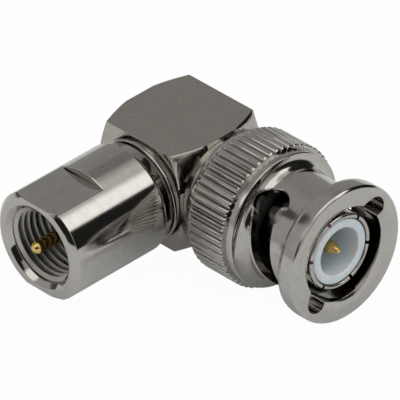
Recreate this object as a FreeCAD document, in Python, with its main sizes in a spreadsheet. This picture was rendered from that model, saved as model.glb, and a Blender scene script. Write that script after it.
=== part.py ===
"""Right-angle coaxial adapter, bayonet plug to threaded mobile-equipment plug.

All sizes are in millimetres. X runs out along the bayonet plug, -Y runs out along the threaded plug
and +Z is up. The origin is where the two axes cross, in the middle of the square block.
"""
import FreeCAD, Part
import math
import os

import Sketcher

SIZES = {
    # Square block, its flats set in from the diameter of the threaded barrel
    "block_inset": 0.15,
    "block_rear_reach": 0.3,
    "block_front_setback": 0.2,
    "block_face_lap": 0.275,
    "block_chamfer_angle": 30.0,
    "cap_shoulder": 0.7,
    "cap_thickness": 1.1,
    "cap_recess": 0.1,
    "cap_edge": 0.15,
    "spigot_wall": 0.9,
    "spigot_corner_wall": 0.1,
    "press_clearance": 0.01,
    # Shell of the bayonet plug
    "flange_lap": 1.1,
    "flange_height": 0.9,
    "flange_front": 13.4,
    "flange_thickness": 1.0,
    "contact_diameter": 8.1,
    "contact_wall": 0.5,
    "contact_front": 21.85,
    "contact_edge": 0.2,
    "contact_bore_depth": 7.9,
    "line_shoulder": 0.65,
    "finger_length": 5.8,
    "finger_slot": 0.35,
    "finger_count": 6,
    "finger_angle": -10.5,
    # Insulator and pin of the bayonet plug
    "finger_gap": 0.1,
    "insulator_setback": 0.12,
    "insulator_edge": 0.12,
    "insulator_clearance": 0.2,
    "recess_wall": 0.91,
    "recess_depth": 5.2,
    "pin_diameter": 1.35,
    "pin_tip_diameter": 0.3,
    "pin_tip_length": 0.98,
    "pin_setback": 0.08,
    "conductor_diameter": 1.8,
    "conductor_overhang": 1.2,
    "solder_slot_depth": 1.75,
    # Gasket round the contact, and the room for it inside the nut
    "gasket_thickness": 0.9,
    "gasket_wall": 0.55,
    "gasket_room": 0.2,
    "gasket_edge": 0.2,
    "gasket_seat_step": 0.2,
    # Washers and ring behind the flange
    "running_clearance": 0.08,
    "spring_washer_thickness": 0.25,
    "spring_washer_height": 1.2,
    "spring_washer_clearance": 0.02,
    "thrust_washer_thickness": 0.5,
    "ring_thickness": 0.6,
    "ring_groove_depth": 0.4,
    "ring_bore_clearance": 0.25,
    "ring_gap": 2.4,
    # Coupling nut
    "nut_rear": 7.4,
    "nut_rear_wall": 0.67,
    "nut_wall": 0.78,
    "collar_wall": 0.94,
    "collar_front": 14.05,
    "collar_hollow": 1.2,
    "knurl_height": 0.456,
    "knurl_rear": 8.68,
    "knurl_front": 13.1,
    "knurl_depth": 0.34,
    "knurl_teeth": 56,
    "knurl_groove_width": 0.66,
    "rim_rear": 20.5,
    "rim_height": 1.37,
    "rim_lead": 0.5,
    "rim_step": 0.1,
    "rim_edge": 0.22,
    "nut_front": 22.55,
    "mouth_step": 0.8,
    "mouth_depth": 0.27,
    "cam_width": 2.65,
    "cam_lead": 6.73,
    "cam_start_angle": 131.0,
    "cam_sweep": 90.0,
    "cam_start": 15.85,
    "cam_count": 2,
    "detent_angle": 128.4,
    "detent_diameter": 3.7,
    "detent_place": 16.15,
    "entry_diameter": 2.7,
    "entry_outset": 0.15,
    "entry_step": 0.1,
    # Shell of the threaded plug
    "socket_front": 19.5,
    "socket_edge_radial": 0.56,
    "socket_edge_axial": 0.33,
    "thread_diameter": 8.0,
    "thread_depth": 7.3,
    "mouth_lead": 0.5,
    "socket_wall": 1.75,
    "socket_rear_edge": 0.4,
    "socket_neck_step": 0.5,
    "socket_neck_length": 1.25,
    "socket_groove_depth": 0.35,
    "socket_groove_length": 0.25,
    "socket_ring_height": 0.17,
    "socket_ring_length": 0.35,
    "socket_foot_step": 0.15,
    "socket_foot_length": 0.35,
    "wrench_depth": 0.8,
    "wrench_length": 6.25,
    # Insulator and pin of the threaded plug
    "socket_pin_diameter": 1.3,
    "socket_pin_proud": 0.5,
    "socket_pin_dome": 0.4,
    "socket_pin_tip": 0.6,
    "tail_diameter": 1.0,
    "tail_reach": 0.9,
    "solder_clearance": 0.02,
}

doc = FreeCAD.newDocument("adapter")
sheet = doc.addObject("Spreadsheet::Sheet", "Sizes")


class Length:
    """A number held with the expression that gives it from the sheet."""

    def __init__(self, value, text=None):
        self.value = float(value)
        self.text = text or repr(value)

    def joined(self, sign, other, value):
        return Length(value, f"({self.text} {sign} {other.text})")

    def __add__(self, other):
        other = as_length(other)
        return self.joined("+", other, self.value + other.value)

    def __sub__(self, other):
        other = as_length(other)
        return self.joined("-", other, self.value - other.value)

    def __mul__(self, other):
        other = as_length(other)
        return self.joined("*", other, self.value * other.value)

    def __truediv__(self, other):
        other = as_length(other)
        return self.joined("/", other, self.value / other.value)

    def __neg__(self):
        return Length(-self.value, f"(0 - {self.text})")


def as_length(number):
    return number if isinstance(number, Length) else Length(number)


def tangent(angle):
    return Length(math.tan(math.radians(angle.value)), f"tan({angle.text})")


class Sizes:
    """Every size of the sheet by its name."""


size = Sizes()
for row, (alias, number) in enumerate(SIZES.items(), start=1):
    sheet.set(f"A{row}", alias)
    sheet.set(f"B{row}", str(number))
    sheet.setAlias(f"B{row}", alias)
    setattr(size, alias, Length(number, f"Sizes.{alias}"))
doc.recompute()

FULL_TURN = 360
HOLLOW_STEPS = 3


def bind(item, path, length):
    """Set a property of an object to an expression of the sheet."""
    item.setExpression(path, as_length(length).text)


def new_body(label):
    body = doc.addObject("PartDesign::Body", label)
    body.Label = label
    return body


def origin_feature(body, role):
    return next(item for item in body.Origin.OriginFeatures if item.Role == role)


def new_sketch(body, name, plane="XY_Plane", lift=None, turn=None, spin=None):
    """Attach a sketch to one of the body's own planes, lifted off it, turned about X or spun in its plane."""
    sketch = body.newObject("Sketcher::SketchObject", name)
    sketch.AttachmentSupport = [(origin_feature(body, plane), "")]
    sketch.MapMode = "FlatFace"
    axis = FreeCAD.Vector(1, 0, 0) if turn else FreeCAD.Vector(0, 0, 1)
    angle = turn or spin
    if angle:
        rotation = FreeCAD.Rotation(axis, angle.value)
        sketch.AttachmentOffset = FreeCAD.Placement(FreeCAD.Vector(), rotation)
        bind(sketch, "AttachmentOffset.Rotation.Angle", angle)
    if lift:
        bind(sketch, "AttachmentOffset.Base.z", lift)
    return sketch


def hold(sketch, kind, element, point, length):
    """Fix one coordinate of a sketch point to a distance from the sketch's origin."""
    length = as_length(length)
    if length.value == 0:
        axis = -2 if kind == "DistanceX" else -1
        sketch.addConstraint(Sketcher.Constraint("PointOnObject", element, point, axis))
        return
    constraint = Sketcher.Constraint(kind, -1, 1, element, point, length.value)
    index = sketch.addConstraint(constraint)
    bind(sketch, f"Constraints[{index}]", length)


def draw_outline(sketch, points):
    """Draw a closed outline of straight lines, each corner held by its own two distances."""
    points = [(as_length(across), as_length(up)) for across, up in points]
    corners = [FreeCAD.Vector(across.value, up.value, 0) for across, up in points]
    count = len(corners)
    for index, corner in enumerate(corners):
        following = corners[(index + 1) % count]
        sketch.addGeometry(Part.LineSegment(corner, following), False)
    for index in range(count):
        sketch.addConstraint(Sketcher.Constraint("Coincident", index, 2, (index + 1) % count, 1))
    for index, (across, up) in enumerate(points):
        hold(sketch, "DistanceX", index, 1, across)
        hold(sketch, "DistanceY", index, 1, up)
    return sketch


def draw_circle(sketch, across, up, diameter):
    across = as_length(across)
    up = as_length(up)
    centre = FreeCAD.Vector(across.value, up.value, 0)
    circle = sketch.addGeometry(Part.Circle(centre, FreeCAD.Vector(0, 0, 1), diameter.value / 2), False)
    index = sketch.addConstraint(Sketcher.Constraint("Radius", circle, diameter.value / 2))
    bind(sketch, f"Constraints[{index}]", diameter / 2)
    hold(sketch, "DistanceX", circle, 3, across)
    hold(sketch, "DistanceY", circle, 3, up)
    return sketch


def revolve(body, name, points, about, cut=False, turn=None):
    """Turn an outline a full turn about the X axis (H_Axis) or the Y axis (V_Axis)."""
    sketch = draw_outline(new_sketch(body, f"{name}_outline", turn=turn), points)
    kind = "PartDesign::Groove" if cut else "PartDesign::Revolution"
    feature = body.newObject(kind, name)
    feature.Profile = sketch
    feature.ReferenceAxis = (sketch, [about])
    feature.Angle = FULL_TURN
    sketch.Visibility = False
    doc.recompute()
    return feature


def along_x(pairs):
    """Outline points from (place along X, diameter) pairs."""
    return [(place, as_length(diameter) / 2) for place, diameter in pairs]


def along_minus_y(pairs):
    """Outline points from (distance out along -Y, diameter) pairs."""
    return [(as_length(diameter) / 2, -as_length(place)) for place, diameter in pairs]


def pocket(body, name, sketch, length, reverse=False, both_ways=False):
    """Cut a sketch out of the body for a length, against the sketch's normal or along it."""
    before = body.Shape.Volume
    feature = body.newObject("PartDesign::Pocket", name)
    feature.Profile = sketch
    feature.Type = "Length"
    feature.Midplane = both_ways
    feature.Reversed = reverse
    bind(feature, "Length", length)
    sketch.Visibility = False
    doc.recompute()
    if not body.Shape.Volume < before:
        raise RuntimeError(f"{name} cuts nothing")
    return feature


def polar_pattern(body, name, features, count):
    """Repeat features round the X axis."""
    pattern = body.newObject("PartDesign::PolarPattern", name)
    pattern.Originals = features
    pattern.Axis = (origin_feature(body, "X_Axis"), [""])
    pattern.Angle = FULL_TURN
    bind(pattern, "Occurrences", count)
    body.Tip = pattern
    doc.recompute()
    return pattern


# Diameters and places that several pieces share.
contact_bore = size.contact_diameter - size.contact_wall * 2
line_bore = contact_bore - size.line_shoulder * 2
spigot_diameter = line_bore + size.spigot_wall * 2
cap_seat_diameter = line_bore + size.cap_shoulder * 2
gasket_seat = size.contact_diameter + size.gasket_seat_step * 2
gasket_outer = gasket_seat + size.gasket_wall * 2
nut_bore = gasket_outer + size.gasket_room * 2
flange_diameter = nut_bore + size.flange_lap * 2
neck_diameter = flange_diameter - size.flange_height * 2
socket_diameter = size.thread_diameter + size.socket_wall * 2
block_across = socket_diameter - size.block_inset * 2
block_face_diameter = block_across + size.block_face_lap * 2
half_block = block_across / 2
block_rear = half_block + size.block_rear_reach
block_front = half_block - size.block_front_setback
spigot_end = spigot_diameter / 2 + size.spigot_corner_wall
spigot_outside = spigot_diameter - size.press_clearance * 2
insulator_end = line_bore / 2 + size.insulator_clearance
contact_shoulder = size.contact_front - size.contact_bore_depth
flange_rear = size.flange_front - size.flange_thickness
spring_room = (size.spring_washer_height + size.spring_washer_clearance) * 2
thrust_front = flange_rear - spring_room - size.spring_washer_clearance
thrust_rear = thrust_front - size.thrust_washer_thickness
ring_rear = thrust_rear - size.ring_thickness
cavity_diameter = flange_diameter + size.running_clearance * 2
washer_bore = neck_diameter + size.running_clearance * 2
gasket_front = size.flange_front + size.gasket_thickness
insulator_front = size.contact_front - size.insulator_setback
recess_floor = insulator_front - size.recess_depth
line_hole = size.conductor_diameter + size.press_clearance * 2
thread_floor = size.socket_front - size.thread_depth


def elbow_body():
    """Square block, both ends chamfered like a nut, bored through for the line and for the two shells."""
    body = new_body("elbow_body")
    square = new_sketch(body, "square", "YZ_Plane", lift=-block_rear)
    draw_outline(square, [(-half_block, -half_block), (half_block, -half_block),
                          (half_block, half_block), (-half_block, half_block)])
    bar = body.newObject("PartDesign::Pad", "bar")
    bar.Profile = square
    bind(bar, "Length", block_rear + block_front)
    square.Visibility = False
    doc.recompute()
    reach = block_across
    fall = (reach - block_face_diameter / 2) * tangent(size.block_chamfer_angle)
    for name, end, way in (("rear_chamfer", -block_rear, 1), ("front_chamfer", block_front, -1)):
        revolve(body, name, [(end, block_face_diameter / 2), (end, reach), (end + fall * way, reach)],
                "H_Axis", cut=True)
    cap_seat = -block_rear + size.cap_recess + size.cap_thickness
    revolve(body, "line_bore", along_x([
        (-block_rear, 0), (-block_rear, cap_seat_diameter), (cap_seat, cap_seat_diameter),
        (cap_seat, line_bore), (spigot_end, line_bore), (spigot_end, spigot_diameter),
        (block_front, spigot_diameter), (block_front, 0)]), "H_Axis", cut=True)
    revolve(body, "side_bore", along_minus_y([
        (half_block, 0), (half_block, spigot_diameter), (spigot_end, spigot_diameter),
        (spigot_end, line_bore), (0, line_bore), (0, 0)]), "V_Axis", cut=True)
    return body


def end_cap():
    """Disc pressed into the rear of the block over the solder joint."""
    body = new_body("end_cap")
    outer = -block_rear + size.cap_recess
    inner = outer + size.cap_thickness
    across = cap_seat_diameter - size.press_clearance * 2
    revolve(body, "disc", along_x([
        (outer, 0), (outer, across - size.cap_edge * 2), (outer + size.cap_edge, across),
        (inner - size.cap_edge, across), (inner, across - size.cap_edge * 2), (inner, 0)]), "H_Axis")
    return body


def plug_shell():
    """Turned shell of the bayonet plug, with a flange and six sprung fingers."""
    body = new_body("plug_shell")
    edge = size.contact_edge
    revolve(body, "turning", along_x([
        (spigot_end, line_bore), (spigot_end, spigot_outside), (block_front, spigot_outside),
        (block_front, neck_diameter), (flange_rear, neck_diameter),
        (flange_rear, flange_diameter), (size.flange_front, flange_diameter),
        (size.flange_front, gasket_seat), (gasket_front, gasket_seat), (gasket_front, size.contact_diameter),
        (size.contact_front - edge, size.contact_diameter),
        (size.contact_front, size.contact_diameter - edge * 2),
        (size.contact_front, contact_bore + edge), (size.contact_front - edge / 2, contact_bore),
        (contact_shoulder, contact_bore), (contact_shoulder, line_bore)]), "H_Axis")
    slit = new_sketch(body, "slit", "YZ_Plane", lift=size.contact_front, spin=size.finger_angle)
    half_slot = size.finger_slot / 2
    inner = contact_bore / 2 - size.finger_slot
    outer = size.contact_diameter / 2 + size.finger_slot
    draw_outline(slit, [(inner, -half_slot), (outer, -half_slot), (outer, half_slot), (inner, half_slot)])
    cut = pocket(body, "finger_slot", slit, size.finger_length)
    polar_pattern(body, "finger_slots", [cut], size.finger_count)
    return body


def plug_insulator():
    """White insulator of the bayonet plug, with the round recess in its front."""
    body = new_body("plug_insulator")
    outer = contact_bore - size.finger_gap * 2
    recess = outer - size.recess_wall * 2
    tail = line_bore - size.press_clearance * 2
    front = insulator_front
    edge = size.insulator_edge
    revolve(body, "turning", along_x([
        (insulator_end, line_hole), (insulator_end, tail), (contact_shoulder, tail),
        (contact_shoulder, outer), (front - edge, outer), (front, outer - edge * 2),
        (front, recess + edge * 2), (front - edge, recess), (recess_floor, recess),
        (recess_floor, line_hole)]), "H_Axis")
    return body


def plug_pin():
    """Gilt centre pin of the bayonet plug, slotted behind for the other pin's tail."""
    body = new_body("plug_pin")
    tip = insulator_front - size.pin_setback
    rear = -size.conductor_overhang
    revolve(body, "turning", along_x([
        (rear, 0), (rear, size.conductor_diameter), (recess_floor, size.conductor_diameter),
        (recess_floor, size.pin_diameter), (tip - size.pin_tip_length, size.pin_diameter),
        (tip, size.pin_tip_diameter), (tip, 0)]), "H_Axis")
    slot = new_sketch(body, "slot", "XZ_Plane")
    half_slot = size.tail_diameter / 2 + size.solder_clearance
    slot_end = rear + size.solder_slot_depth
    outside = rear * 2
    draw_outline(slot, [(outside, -half_slot), (slot_end, -half_slot), (slot_end, half_slot),
                        (outside, half_slot)])
    pocket(body, "solder_slot", slot, size.conductor_diameter * 2, both_ways=True)
    return body


def gasket():
    """Rubber ring in front of the flange."""
    body = new_body("gasket")
    bore = gasket_seat + size.press_clearance * 2
    edge = size.gasket_edge
    revolve(body, "ring", along_x([
        (size.flange_front, bore), (size.flange_front, gasket_outer),
        (gasket_front - edge, gasket_outer), (gasket_front, gasket_outer - edge * 2),
        (gasket_front, bore)]), "H_Axis")
    return body


def flat_ring(label, rear, thickness, outside, bore):
    """Flat ring about the X axis, a disc with a round hole."""
    disc = doc.addObject("Part::Cylinder", f"{label}_disc")
    hole = doc.addObject("Part::Cylinder", f"{label}_hole")
    bind(disc, "Radius", outside / 2)
    bind(disc, "Height", thickness)
    bind(hole, "Radius", bore / 2)
    bind(hole, "Height", thickness * 2)
    turned = FreeCAD.Rotation(FreeCAD.Vector(0, 1, 0), 90)
    disc.Placement = FreeCAD.Placement(FreeCAD.Vector(), turned)
    hole.Placement = FreeCAD.Placement(FreeCAD.Vector(), turned)
    bind(disc, "Placement.Base.x", rear)
    bind(hole, "Placement.Base.x", rear - thickness / 2)
    ring = doc.addObject("Part::Cut", label)
    ring.Label = label
    ring.Base = disc
    ring.Tool = hole
    doc.recompute()
    return ring


def thrust_washer():
    """Flat washer between the spring washers and the retaining ring."""
    outside = cavity_diameter - size.running_clearance * 2
    return flat_ring("thrust_washer", thrust_rear, size.thrust_washer_thickness, outside, washer_bore)


def retaining_ring():
    """Split ring sprung into the groove behind the washers."""
    outside = cavity_diameter + size.ring_groove_depth * 2 - size.press_clearance * 2
    bore = neck_diameter + size.ring_bore_clearance * 2
    whole = flat_ring("whole_ring", ring_rear + size.press_clearance,
                      size.ring_thickness - size.press_clearance * 2, outside, bore)
    gap = doc.addObject("Part::Box", "ring_gap_block")
    bind(gap, "Length", size.ring_thickness * 2)
    bind(gap, "Width", size.ring_gap)
    bind(gap, "Height", outside)
    bind(gap, "Placement.Base.x", ring_rear - size.ring_thickness / 2)
    bind(gap, "Placement.Base.y", -size.ring_gap / 2)
    bind(gap, "Placement.Base.z", -outside)
    ring = doc.addObject("Part::Cut", "retaining_ring")
    ring.Label = "retaining_ring"
    ring.Base = whole
    ring.Tool = gap
    doc.recompute()
    return ring


def spring_washer(label, rear, crest_forward):
    """Thin washer bent to an arc about an upright line, its height reached at the crest in the middle."""
    thickness = size.spring_washer_thickness
    outside = cavity_diameter - size.running_clearance * 4
    bore = washer_bore + size.running_clearance * 2
    rise = size.spring_washer_height - thickness
    bend = (outside * outside / 4 + rise * rise) / (rise * 2)
    front = rear + size.spring_washer_height
    centre = front - bend - thickness if crest_forward else rear + bend + thickness
    shells = []
    for name, radius in (("outside", bend + thickness), ("inside", bend)):
        shell = doc.addObject("Part::Cylinder", f"{label}_{name}")
        bind(shell, "Radius", radius)
        bind(shell, "Height", outside * 2)
        bind(shell, "Placement.Base.x", centre)
        bind(shell, "Placement.Base.z", -outside)
        shells.append(shell)
    sheet_metal = doc.addObject("Part::Cut", f"{label}_sheet")
    sheet_metal.Base, sheet_metal.Tool = shells
    depth = size.spring_washer_height + thickness * 2
    ring = flat_ring(f"{label}_ring", rear - thickness, depth, outside, bore)
    washer = doc.addObject("Part::Common", label)
    washer.Label = label
    washer.Base = sheet_metal
    washer.Tool = ring
    doc.recompute()
    return washer


def spring_washers():
    """Two bent washers, crest against crest, that press the nut back against the flange."""
    first = thrust_front + size.spring_washer_clearance
    second = first + size.spring_washer_height + size.spring_washer_clearance
    return [spring_washer("spring_washer_1", first, True), spring_washer("spring_washer_2", second, False)]


def coupling_nut():
    """Knurled bayonet nut with two cam slots and their entries."""
    body = new_body("coupling_nut")
    groove = cavity_diameter + size.ring_groove_depth * 2
    barrel = nut_bore + size.nut_wall * 2
    collar = cavity_diameter + size.collar_wall * 2
    knurl = collar + size.knurl_height * 2
    rim_rear = barrel + size.rim_height * 2
    rim = rim_rear + size.rim_step * 2
    hollow = []
    for step in range(HOLLOW_STEPS + 1):
        angle = math.pi / 2 * step / HOLLOW_STEPS
        hollow.append((size.collar_front + size.collar_hollow * (1 - math.cos(angle)),
                       barrel + size.collar_hollow * (2 - 2 * math.sin(angle))))
    clear_of_slots = size.cam_start_angle - (Length(FULL_TURN) / size.cam_count - size.cam_sweep) / 2
    revolve(body, "turning", along_x([
        (size.nut_rear, cavity_diameter), (size.nut_rear, cavity_diameter + size.nut_rear_wall * 2),
        (size.knurl_rear, knurl), (size.knurl_front, knurl),
        (size.knurl_front, collar), (size.collar_front, collar), *hollow,
        (size.rim_rear, barrel), (size.rim_rear, rim_rear), (size.rim_rear + size.rim_lead, rim),
        (size.nut_front - size.rim_edge, rim), (size.nut_front, rim - size.rim_edge * 2),
        (size.nut_front, nut_bore + size.mouth_step * 2), (size.nut_front - size.mouth_depth, nut_bore),
        (size.flange_front, nut_bore), (size.flange_front, cavity_diameter),
        (thrust_rear, cavity_diameter), (thrust_rear, groove), (ring_rear, groove),
        (ring_rear, cavity_diameter)]), "H_Axis", turn=clear_of_slots)

    knurl_radius = knurl / 2
    tooth_gap = new_sketch(body, "tooth_gap", "YZ_Plane", lift=size.knurl_front)
    draw_outline(tooth_gap, [(knurl_radius - size.knurl_depth, 0),
                             (knurl_radius + size.knurl_depth, -size.knurl_groove_width),
                             (knurl_radius + size.knurl_depth, size.knurl_groove_width)])
    gap = pocket(body, "tooth_gap_cut", tooth_gap, size.knurl_front - size.nut_rear)
    polar_pattern(body, "knurl", [gap], size.knurl_teeth)

    wall_inside = nut_bore / 2 - size.nut_wall / 2
    wall_outside = barrel / 2 + size.nut_wall / 2
    half_cam = size.cam_width / 2
    cam_end = size.cam_start + size.cam_lead * size.cam_sweep / FULL_TURN
    entry_angle = size.cam_start_angle + size.cam_sweep
    entry = new_sketch(body, "entry", "YZ_Plane", lift=size.nut_front, spin=entry_angle)
    draw_circle(entry, nut_bore / 2 + size.entry_outset, 0, size.entry_diameter)
    entry_depth = size.nut_front - cam_end + half_cam - size.entry_step
    entry_cut = pocket(body, "entry_channel", entry, entry_depth)
    polar_pattern(body, "entry_channels", [entry_cut], size.cam_count)

    detent = new_sketch(body, "detent", turn=size.detent_angle - 90)
    draw_circle(detent, size.detent_place, 0, size.detent_diameter)
    detent_cut = pocket(body, "detent_hole", detent, barrel, reverse=True)
    polar_pattern(body, "detent_holes", [detent_cut], size.cam_count)

    for number in range(int(size.cam_count.value)):
        angle = size.cam_start_angle + Length(FULL_TURN * number) / size.cam_count
        cam_section = new_sketch(body, f"cam_section_{number}", turn=angle)
        draw_outline(cam_section, [
            (size.cam_start - half_cam, wall_inside), (size.cam_start + half_cam, wall_inside),
            (size.cam_start + half_cam, wall_outside), (size.cam_start - half_cam, wall_outside)])
        cam = body.newObject("PartDesign::SubtractiveHelix", f"cam_slot_{number}")
        cam.Profile = cam_section
        cam.ReferenceAxis = (cam_section, ["H_Axis"])
        cam.Mode = 0
        cam.LeftHanded = False
        cam.Reversed = False
        bind(cam, "Pitch", size.cam_lead)
        bind(cam, "Height", size.cam_lead * size.cam_sweep / FULL_TURN)
        cam_section.Visibility = False
        doc.recompute()
    return body


def fme_shell():
    """Turned shell of the threaded plug, with two wrench flats."""
    body = new_body("fme_shell")
    mouth = size.thread_diameter + size.mouth_lead * 2
    neck = socket_diameter - size.socket_neck_step * 2
    foot = neck - size.socket_foot_step * 2
    ring = neck + size.socket_ring_height * 2
    groove = neck - size.socket_groove_depth * 2
    ring_rear = half_block + size.socket_foot_length
    ring_front = ring_rear + size.socket_ring_length
    neck_rear = ring_front + size.socket_groove_length
    neck_front = neck_rear + size.socket_neck_length
    revolve(body, "turning", along_minus_y([
        (spigot_end, line_bore), (spigot_end, spigot_outside), (half_block, spigot_outside),
        (half_block, foot), (ring_rear, foot), (ring_rear, ring), (ring_front, ring), (ring_front, groove),
        (neck_rear, groove), (neck_rear, neck), (neck_front - size.socket_rear_edge, neck),
        (neck_front, socket_diameter), (size.socket_front - size.socket_edge_axial, socket_diameter),
        (size.socket_front, socket_diameter - size.socket_edge_radial * 2),
        (size.socket_front, mouth), (size.socket_front - size.mouth_lead, size.thread_diameter),
        (thread_floor, size.thread_diameter), (thread_floor, line_bore)]), "V_Axis")
    flat = new_sketch(body, "flat", "XY_Plane", lift=socket_diameter / 2 - size.wrench_depth)
    half_width = socket_diameter
    outside = -size.socket_front - size.socket_edge_axial
    wrench_end = size.wrench_length - size.socket_front
    draw_outline(flat, [(-half_width, wrench_end), (half_width, wrench_end), (half_width, outside),
                        (-half_width, outside)])
    cut = pocket(body, "wrench_flat", flat, socket_diameter, reverse=True)
    mirror = body.newObject("PartDesign::Mirrored", "wrench_flats")
    mirror.Originals = [cut]
    mirror.MirrorPlane = (origin_feature(body, "XY_Plane"), [""])
    body.Tip = mirror
    doc.recompute()
    return body


def fme_insulator():
    """White insulator of the threaded plug."""
    body = new_body("fme_insulator")
    outside = line_bore - size.press_clearance * 2
    revolve(body, "turning", along_minus_y([
        (insulator_end, line_hole), (insulator_end, outside),
        (thread_floor, outside), (thread_floor, line_hole)]), "V_Axis")
    return body


def fme_pin():
    """Gilt centre pin of the threaded plug, its tail soldered in the other pin's slot."""
    body = new_body("fme_pin")
    tip = size.socket_front + size.socket_pin_proud
    revolve(body, "turning", along_minus_y([
        (-size.tail_reach, 0), (-size.tail_reach, size.tail_diameter),
        (insulator_end, size.tail_diameter), (insulator_end, size.conductor_diameter),
        (thread_floor, size.conductor_diameter), (thread_floor, size.socket_pin_diameter),
        (tip - size.socket_pin_dome, size.socket_pin_diameter), (tip, size.socket_pin_tip),
        (tip, 0)]), "V_Axis")
    return body


pieces = [
    elbow_body(), end_cap(), plug_shell(), plug_insulator(), plug_pin(), gasket(), coupling_nut(),
    thrust_washer(), *spring_washers(), retaining_ring(), fme_shell(), fme_insulator(), fme_pin(),
]
doc.recompute()

for item in doc.Objects:
    if "Invalid" in item.State or "Error" in item.State:
        raise RuntimeError(f"{item.Label} failed: {item.State}")
for piece in pieces:
    if piece.Shape.isNull() or not piece.Shape.isValid():
        raise RuntimeError(f"{piece.Label} has no valid shape")
    if len(piece.Shape.Solids) != 1:
        raise RuntimeError(f"{piece.Label} has {len(piece.Shape.Solids)} solids")

os.makedirs("parts", exist_ok=True)
for piece in pieces:
    piece.Shape.exportStep(f"parts/{piece.Label}.step")
    box = piece.Shape.BoundBox
    print(f"{piece.Label}: {piece.Shape.Volume:.2f} mm3,",
          f"x {box.XMin:.2f} to {box.XMax:.2f}, y {box.YMin:.2f} to {box.YMax:.2f},",
          f"z {box.ZMin:.2f} to {box.ZMax:.2f}")
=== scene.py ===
"""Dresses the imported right-angle coaxial adapter with its turned, milled and plated pieces."""
from math import asin, atan2, cos, pi, radians, sin, sqrt, tan

import bmesh
import bpy
from mathutils import Matrix, Vector


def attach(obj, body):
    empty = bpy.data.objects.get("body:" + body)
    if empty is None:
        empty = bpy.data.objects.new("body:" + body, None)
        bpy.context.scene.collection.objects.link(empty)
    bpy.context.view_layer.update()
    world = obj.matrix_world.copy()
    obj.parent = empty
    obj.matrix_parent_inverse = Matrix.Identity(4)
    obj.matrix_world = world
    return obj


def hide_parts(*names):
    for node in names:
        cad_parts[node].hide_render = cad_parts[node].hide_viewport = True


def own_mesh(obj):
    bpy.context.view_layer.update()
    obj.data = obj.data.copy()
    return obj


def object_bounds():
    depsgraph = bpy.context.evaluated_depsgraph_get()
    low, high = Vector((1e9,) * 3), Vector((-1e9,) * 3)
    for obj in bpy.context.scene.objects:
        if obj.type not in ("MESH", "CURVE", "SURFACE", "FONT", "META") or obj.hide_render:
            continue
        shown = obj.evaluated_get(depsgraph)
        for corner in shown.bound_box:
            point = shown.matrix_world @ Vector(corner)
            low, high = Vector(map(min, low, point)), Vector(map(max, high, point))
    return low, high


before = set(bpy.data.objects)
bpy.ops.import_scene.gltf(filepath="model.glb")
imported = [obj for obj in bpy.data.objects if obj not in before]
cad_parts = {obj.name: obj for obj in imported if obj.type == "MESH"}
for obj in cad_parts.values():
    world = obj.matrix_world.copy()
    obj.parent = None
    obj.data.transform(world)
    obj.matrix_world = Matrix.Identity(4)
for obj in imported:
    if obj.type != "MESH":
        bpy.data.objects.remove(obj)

bl_info = {
    "name": "Coaxial Adapter",
    "version": (1, 0, 0),
    "blender": (4, 5, 0),
    "location": "View3D > Sidebar > Adapter",
    "description": "Models the pieces, plating and studio of a right-angle coaxial adapter",
    "category": "Add Mesh",
}

CAD_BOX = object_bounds()
MM = 0.001
MICRON = 0.000001
BAYONET = Vector((1, 0, 0))
THREADED = Vector((0, -1, 0))

# Corners round the threaded barrel, on a ridge of the knurl and round a detent, and steps along a screw
BARREL_STEPS = 206
KNURL_STEPS = 8
DETENT_STEPS = 96
SCREW_STEPS = 72

# Radii and a place that several pieces share
SPIGOT = 3.78 * MM
CONDUCTOR = 0.9 * MM
LINE_HOLE = 0.91 * MM
FLANGE_FRONT = 13.4 * MM

# The nut's slots flare towards the outside: (height over the skin, widening) from the inside out. Their
# sides carry painted shade.
SLOT_EDGE = 0.1 * MM
FLARE = ((-1.4 * MM, 0.0), (-SLOT_EDGE, 0.0), (SLOT_EDGE, 2 * SLOT_EDGE), (1.2 * MM, 2 * SLOT_EDGE))
# Painted shade: this colour darkens the base colour of the cam slots' sides
SLOT_PAINTED_SHADE = (0.16, 0.145, 0.13)


def length(name, description, millimetres):
    """A size that the sidebar shows."""
    return bpy.props.FloatProperty(name=name, description=description, default=millimetres * MM,
                                   unit="LENGTH", precision=5)


def turn(name, description, degrees):
    """An angle that the sidebar shows."""
    return bpy.props.FloatProperty(name=name, description=description, default=radians(degrees),
                                   unit="ROTATION")


def colour(name, description, red, green, blue):
    """A colour that the sidebar shows."""
    return bpy.props.FloatVectorProperty(name=name, description=description, subtype="COLOR", size=3,
                                         min=0, max=1, default=(red, green, blue))


class BlockSizes(bpy.types.PropertyGroup):
    across: length("Across flats", "Width and height of the square block", 11.2)
    rear: length("Rear", "Distance from the crossing axes to the rear face", 5.9)
    front: length("Front", "Distance from the crossing axes to the face behind the nut", 5.4)
    face: length("Face circle", "Diameter of the round face that the chamfer leaves", 11.75)
    chamfer: turn("Chamfer", "Slope of the turned chamfer on both ends", 30)
    edge: length("Edge", "Width of the broken edges", 0.09)
    cap_seat: length("Cap seat", "Diameter of the hole that the cap closes", 7.2)
    cap_depth: length("Cap depth", "Depth of the hole that the cap closes", 1.2)


class BarrelSizes(bpy.types.PropertyGroup):
    front: length("Front", "Distance from the crossing axes to the barrel's mouth", 19.5)
    across: length("Diameter", "Outside of the barrel", 11.5)
    flats: length("Wrench flats", "Distance between the two flats", 9.9)
    flats_end: length("Flats end", "Distance from the crossing axes to the end of the flats", 13.25)
    neck: length("Neck", "Diameter of the neck at the block", 10.5)
    groove: length("Groove", "Diameter of the groove in the neck", 9.8)
    mouth: length("Mouth", "Diameter of the countersunk mouth", 9.0)
    thread: length("Thread", "Outer diameter of the inside thread", 8.0)
    thread_depth: length("Thread depth", "Depth of the threaded bore", 7.3)
    thread_core: length("Thread core", "Diameter over the thread's crests", 7.2)
    pitch: length("Pitch", "Distance between two turns of the thread", 0.75)


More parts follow.
